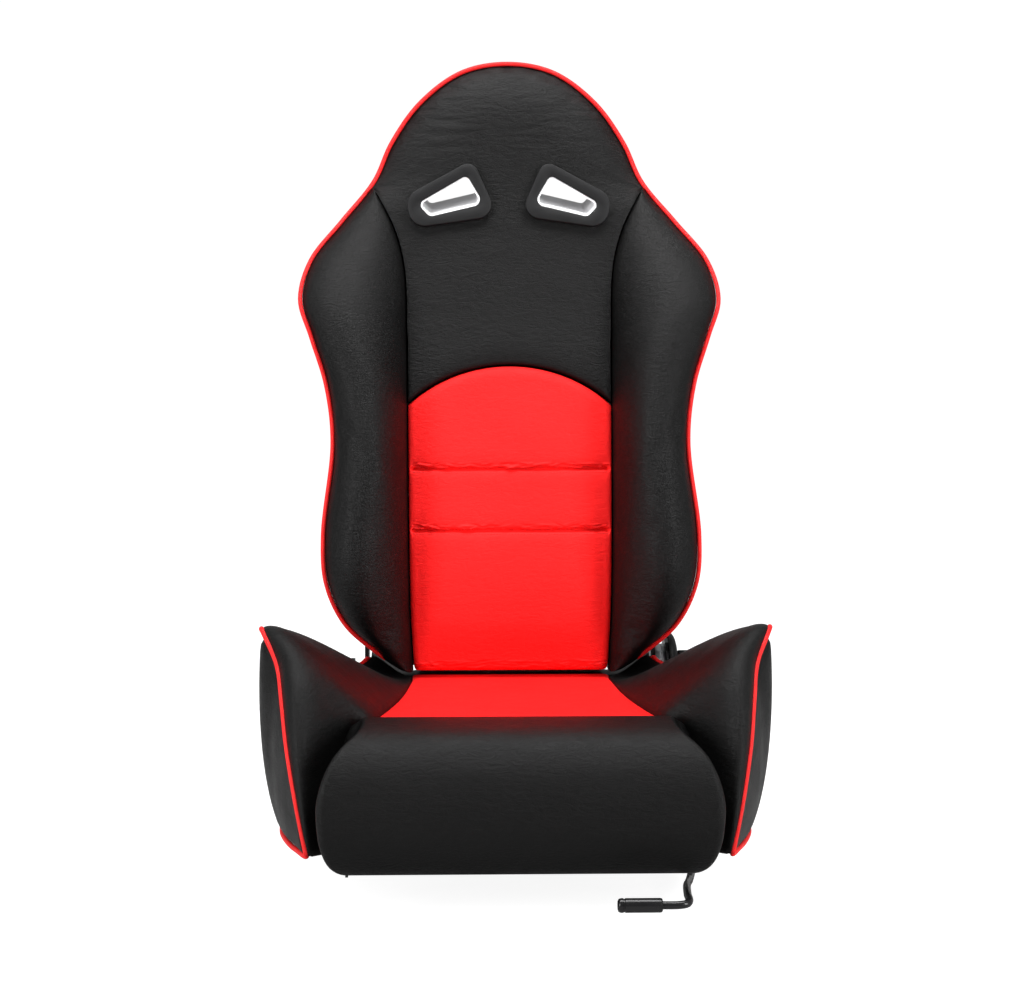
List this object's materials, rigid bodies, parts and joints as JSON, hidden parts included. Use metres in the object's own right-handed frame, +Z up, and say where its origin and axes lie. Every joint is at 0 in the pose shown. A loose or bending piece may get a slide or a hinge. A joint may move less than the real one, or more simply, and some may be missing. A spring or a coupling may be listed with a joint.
{
  "type": "reclining sports seat",
  "caption": "Reclining sports seat with bolstered cushion and backrest, harness slots in the head, slide rails, recliner knob and slide release handle.",
  "frame": {"origin": "middle of the footprint, on the floor under the lower rails", "axes": "+Z up, -Y the way the seated driver looks, +X to the right of somebody who faces the seat"},
  "size_m": [0.576, 0.6591, 0.9437],
  "materials": {
    "black_leather": "semi-gloss synthetic leather with fine grain",
    "red_leather": "satin synthetic leather with fine grain",
    "red_piping": "satin",
    "black_cloth": "matt woven",
    "rail_steel": "zinc plated",
    "painted_steel": "satin black paint",
    "black_plastic": "fine texture",
    "grey_plastic": "fine texture",
    "pale_plastic": "smooth"
  },
  "bodies": {
    "floor_rails": {"lower_rail_right": "rail_steel", "lower_rail_left": "rail_steel"},
    "seat_base": {"upper_rail_right": "rail_steel", "upper_rail_left": "rail_steel", "frame_side_right": "painted_steel", "frame_side_left": "painted_steel", "rail_bolt_front_right": "rail_steel", "rail_bolt_front_left": "rail_steel", "rail_bolt_rear_right": "rail_steel", "rail_bolt_rear_left": "rail_steel", "front_cross_tube": "painted_steel", "rear_cross_tube": "painted_steel", "seat_spring_1": "rail_steel", "seat_spring_2": "rail_steel", "seat_spring_3": "rail_steel", "recliner_base_right": "painted_steel", "recliner_base_left": "painted_steel", "recliner_fixed_gear": "rail_steel", "recliner_cover": "black_plastic", "pivot_bush_left": "rail_steel", "pivot_bolt_left": "rail_steel", "handle_guide": "painted_steel", "handle_return_spring": "rail_steel", "cushion_piping_right": "red_piping", "cushion_piping_left": "red_piping", "cushion_side_panel_right": "black_leather", "cushion_side_panel_left": "black_leather", "cushion_bolster_right": "black_leather", "cushion_bolster_left": "black_leather", "cushion_front_roll": "black_leather", "cushion_red_panel": "red_leather"},
    "backrest": {"recliner_ring_gear": "rail_steel", "backrest_arm_right": "painted_steel", "backrest_arm_left": "painted_steel", "backrest_hoop": "painted_steel", "backrest_lower_tube": "painted_steel", "backrest_upper_tube": "painted_steel", "back_spring_1": "rail_steel", "back_spring_2": "rail_steel", "backrest_bolster_right": "black_leather", "backrest_bolster_left": "black_leather", "backrest_panel": "black_leather", "backrest_red_panel": "red_leather", "backrest_rear_cover": "black_cloth", "backrest_piping": "red_piping", "harness_bezel_right": "grey_plastic", "harness_bezel_left": "grey_plastic", "harness_sleeve_right": "pale_plastic", "harness_sleeve_left": "pale_plastic"},
    "recliner_knob_and_shaft": {"recliner_shaft": "rail_steel", "recliner_knob": "black_plastic"},
    "slide_handle": {"slide_handle_rod": "painted_steel", "slide_handle_grip": "black_plastic", "slide_latch": "painted_steel"},
    "rail_wheel_front_right_body": {"rail_wheel_front_right": "rail_steel"},
    "rail_wheel_front_left_body": {"rail_wheel_front_left": "rail_steel"},
    "rail_wheel_rear_right_body": {"rail_wheel_rear_right": "rail_steel"},
    "rail_wheel_rear_left_body": {"rail_wheel_rear_left": "rail_steel"}
  },
  "joints": [
    {"name": "seat_slide", "type": "slide", "parent": "floor_rails", "child": "seat_base", "axis": [0, 1, 0], "range_m": [-0.1, 0.1]},
    {"name": "back_recline", "type": "hinge", "parent": "seat_base", "child": "backrest", "pos_m": [0, 0.163, 0.19], "axis": [-1, 0, 0], "range_deg": [-5, 65]},
    {"name": "recliner_knob_turn", "type": "hinge", "parent": "seat_base", "child": "recliner_knob_and_shaft", "pos_m": [0.2, 0.163, 0.19], "axis": [-1, 0, 0], "range_deg": [-90, 1170]},
    {"name": "slide_handle_lift", "type": "hinge", "parent": "seat_base", "child": "slide_handle", "pos_m": [0.198, 0.038, 0.014], "axis": [0, 1, 0], "range_deg": [0, 20], "stiffness_Nm_per_rad": 1.5, "springref_deg": -20.05},
    {"name": "rail_wheel_front_right_spin", "type": "hinge", "parent": "seat_base", "child": "rail_wheel_front_right_body", "pos_m": [0.168, 0.028, 0.0127], "axis": [1, 0, 0], "range_deg": [-573, 573]},
    {"name": "rail_wheel_front_left_spin", "type": "hinge", "parent": "seat_base", "child": "rail_wheel_front_left_body", "pos_m": [-0.168, 0.028, 0.0127], "axis": [1, 0, 0], "range_deg": [-573, 573]},
    {"name": "rail_wheel_rear_right_spin", "type": "hinge", "parent": "seat_base", "child": "rail_wheel_rear_right_body", "pos_m": [0.168, 0.268, 0.0127], "axis": [1, 0, 0], "range_deg": [-573, 573]},
    {"name": "rail_wheel_rear_left_spin", "type": "hinge", "parent": "seat_base", "child": "rail_wheel_rear_left_body", "pos_m": [-0.168, 0.268, 0.0127], "axis": [1, 0, 0], "range_deg": [-573, 573]}
  ],
  "couplings": [
    {"joint": "recliner_knob_turn", "follows": "back_recline", "ratio": 18},
    {"joint": "rail_wheel_front_right_spin", "follows": "seat_slide", "rad_per_m": -100},
    {"joint": "rail_wheel_front_left_spin", "follows": "seat_slide", "rad_per_m": -100},
    {"joint": "rail_wheel_rear_right_spin", "follows": "seat_slide", "rad_per_m": -100},
    {"joint": "rail_wheel_rear_left_spin", "follows": "seat_slide", "rad_per_m": -100}
  ]
}
